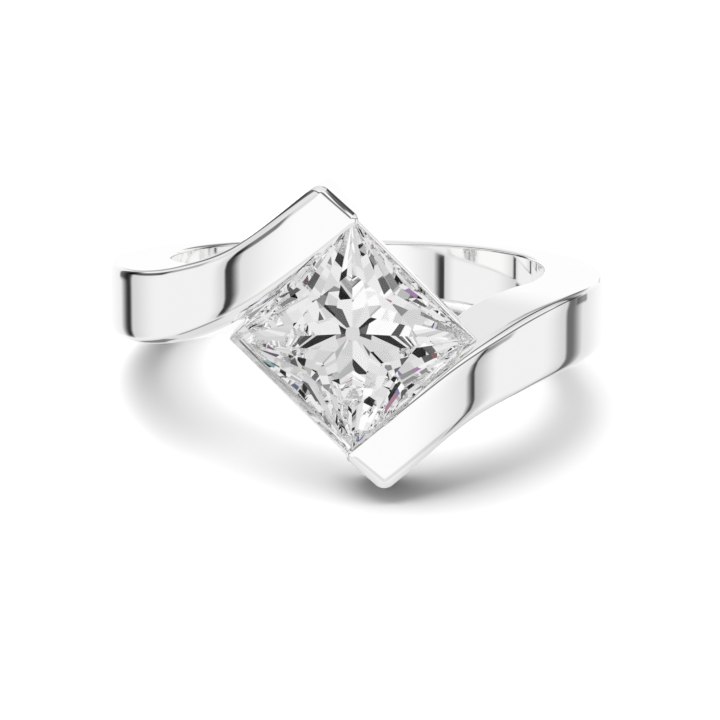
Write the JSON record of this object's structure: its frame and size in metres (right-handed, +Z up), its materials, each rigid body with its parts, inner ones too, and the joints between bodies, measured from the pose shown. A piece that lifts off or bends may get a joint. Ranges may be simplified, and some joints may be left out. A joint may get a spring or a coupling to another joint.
{
  "type": "princess cut solitaire ring",
  "caption": "Bypass ring: a broad polished band ends in two arms that pass a square princess cut stone, set on its corner and held between the arms and two thin rails.",
  "frame": {"origin": "centre of the footprint, on the surface the ring lies on", "axes": "+Z up from that surface; the stone faces -Y and slightly up; X runs across the ring, with the upper arm starting from -X"},
  "size_m": [0.0224, 0.0232, 0.013],
  "materials": {
    "white_gold": "mirror polished",
    "diamond": "polished facets"
  },
  "bodies": {
    "root": {"band": "white_gold", "stone": "diamond"}
  },
  "joints": []
}
